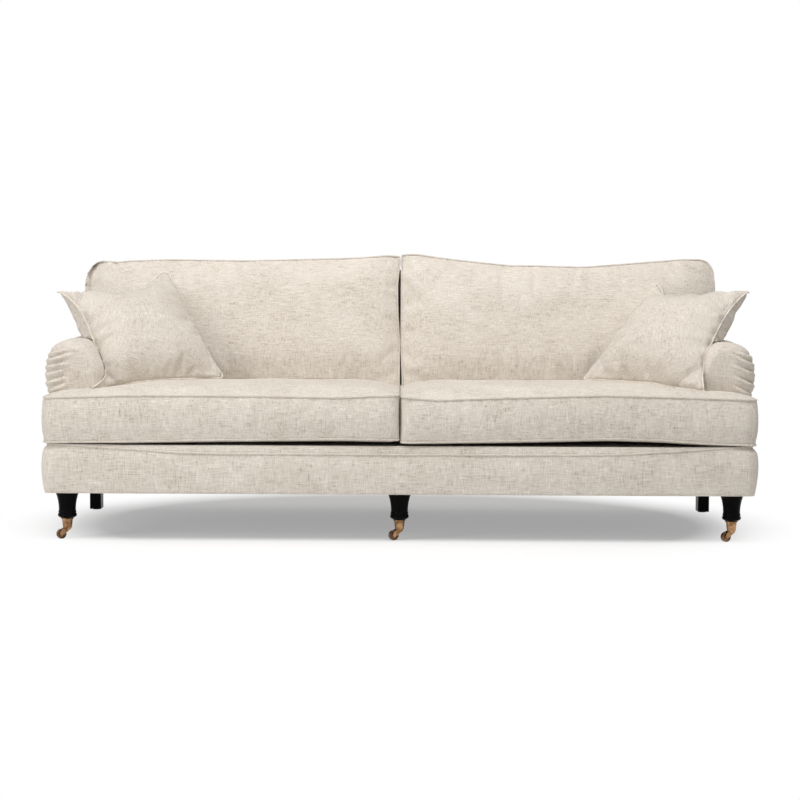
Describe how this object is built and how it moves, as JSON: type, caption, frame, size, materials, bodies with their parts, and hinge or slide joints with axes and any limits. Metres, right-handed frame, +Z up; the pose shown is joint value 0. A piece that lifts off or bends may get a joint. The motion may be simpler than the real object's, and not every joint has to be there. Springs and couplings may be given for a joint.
{
  "type": "english roll arm sofa",
  "caption": "Sofa with low rolled arms, loose box cushions with ears, scatter cushions, turned front legs on swivel casters and square rear legs.",
  "frame": {"origin": "on the floor, at the middle of the sofa's width and depth", "axes": "+X to the right seen from the front, the front faces -Y, +Z up"},
  "size_m": [2.3924, 0.9599, 0.9271],
  "materials": {
    "linen_cover": "matte",
    "stuffing": "matte",
    "foam_core": "matte",
    "felt_pad": "matte",
    "dust_cloth": "matte",
    "webbing": "matte",
    "frame_timber": "matte",
    "black_lacquer": "satin",
    "antique_brass": "satin",
    "spring_steel": "satin",
    "black_nylon": "matte"
  },
  "bodies": {
    "root": {"arm_cover_left": "linen_cover", "arm_cover_right": "linen_cover", "arm_front_board_left": "frame_timber", "arm_front_board_right": "frame_timber", "arm_stuffing_left": "stuffing", "arm_stuffing_right": "stuffing", "arm_top_board_left": "frame_timber", "arm_top_board_right": "frame_timber", "back_centre_post": "frame_timber", "back_lower_rail": "frame_timber", "back_post_left": "frame_timber", "back_post_right": "frame_timber", "back_top_rail": "frame_timber", "back_upholstery": "linen_cover", "back_webbing": "webbing", "caster_cups": "antique_brass", "centre_stretcher": "frame_timber", "corner_blocks": "frame_timber", "deck_pad": "felt_pad", "dust_cover": "dust_cloth", "front_border": "linen_cover", "front_leg_centre": "black_lacquer", "front_leg_left": "black_lacquer", "front_leg_right": "black_lacquer", "front_rail": "frame_timber", "leg_bolts": "spring_steel", "outside_arm_panel_left": "linen_cover", "outside_arm_panel_right": "linen_cover", "outside_back_panel": "linen_cover", "rear_leg_centre": "black_lacquer", "rear_leg_glides": "black_nylon", "rear_leg_left": "black_lacquer", "rear_leg_right": "black_lacquer", "rear_rail": "frame_timber", "seat_springs": "spring_steel", "side_rail_left": "frame_timber", "side_rail_right": "frame_timber", "spring_clips": "spring_steel", "spring_insulator": "felt_pad"},
    "caster_fork_left": {"caster_fork_left": "antique_brass", "caster_axle_left": "antique_brass"},
    "caster_wheel_left": {"caster_wheel_left": "antique_brass"},
    "caster_fork_centre": {"caster_fork_centre": "antique_brass", "caster_axle_centre": "antique_brass"},
    "caster_wheel_centre": {"caster_wheel_centre": "antique_brass"},
    "caster_fork_right": {"caster_fork_right": "antique_brass", "caster_axle_right": "antique_brass"},
    "caster_wheel_right": {"caster_wheel_right": "antique_brass"},
    "seat_cushion_left": {"seat_cushion_cover_left": "linen_cover", "seat_cushion_core_left": "foam_core"},
    "back_cushion_left": {"back_cushion_cover_left": "linen_cover", "back_cushion_core_left": "foam_core"},
    "scatter_cushion_left": {"scatter_cushion_cover_left": "linen_cover", "scatter_cushion_pad_left": "stuffing"},
    "seat_cushion_right": {"seat_cushion_cover_right": "linen_cover", "seat_cushion_core_right": "foam_core"},
    "back_cushion_right": {"back_cushion_cover_right": "linen_cover", "back_cushion_core_right": "foam_core"},
    "scatter_cushion_right": {"scatter_cushion_cover_right": "linen_cover", "scatter_cushion_pad_right": "stuffing"}
  },
  "joints": [
    {"name": "caster_swivel_left", "type": "hinge", "parent": "root", "child": "caster_fork_left", "pos_m": [-1.081, -0.42, 0.0355], "axis": [0, 0, 1], "continuous": true},
    {"name": "caster_roll_left", "type": "hinge", "parent": "caster_fork_left", "child": "caster_wheel_left", "pos_m": [-1.09979, -0.42684, 0.016], "axis": [0.342, -0.9397, 0], "continuous": true},
    {"name": "caster_swivel_centre", "type": "hinge", "parent": "root", "child": "caster_fork_centre", "pos_m": [0, -0.42, 0.0355], "axis": [0, 0, 1], "continuous": true},
    {"name": "caster_roll_centre", "type": "hinge", "parent": "caster_fork_centre", "child": "caster_wheel_centre", "pos_m": [-0.01879, -0.42684, 0.016], "axis": [0.342, -0.9397, 0], "continuous": true},
    {"name": "caster_swivel_right", "type": "hinge", "parent": "root", "child": "caster_fork_right", "pos_m": [1.081, -0.42, 0.0355], "axis": [0, 0, 1], "continuous": true},
    {"name": "caster_roll_right", "type": "hinge", "parent": "caster_fork_right", "child": "caster_wheel_right", "pos_m": [1.06221, -0.42684, 0.016], "axis": [0.342, -0.9397, 0], "continuous": true},
    {"name": "seat_cushion_lift_left", "type": "slide", "parent": "root", "child": "seat_cushion_left", "axis": [0, 0, 1], "range_m": [0, 0.35]},
    {"name": "back_cushion_lift_left", "type": "slide", "parent": "seat_cushion_left", "child": "back_cushion_left", "axis": [0, 0, 1], "range_m": [0, 0.4]},
    {"name": "scatter_cushion_lift_left", "type": "slide", "parent": "back_cushion_left", "child": "scatter_cushion_left", "axis": [0, 0, 1], "range_m": [0, 0.3]},
    {"name": "seat_cushion_lift_right", "type": "slide", "parent": "root", "child": "seat_cushion_right", "axis": [0, 0, 1], "range_m": [0, 0.35]},
    {"name": "back_cushion_lift_right", "type": "slide", "parent": "seat_cushion_right", "child": "back_cushion_right", "axis": [0, 0, 1], "range_m": [0, 0.4]},
    {"name": "scatter_cushion_lift_right", "type": "slide", "parent": "back_cushion_right", "child": "scatter_cushion_right", "axis": [0, 0, 1], "range_m": [0, 0.3]}
  ]
}
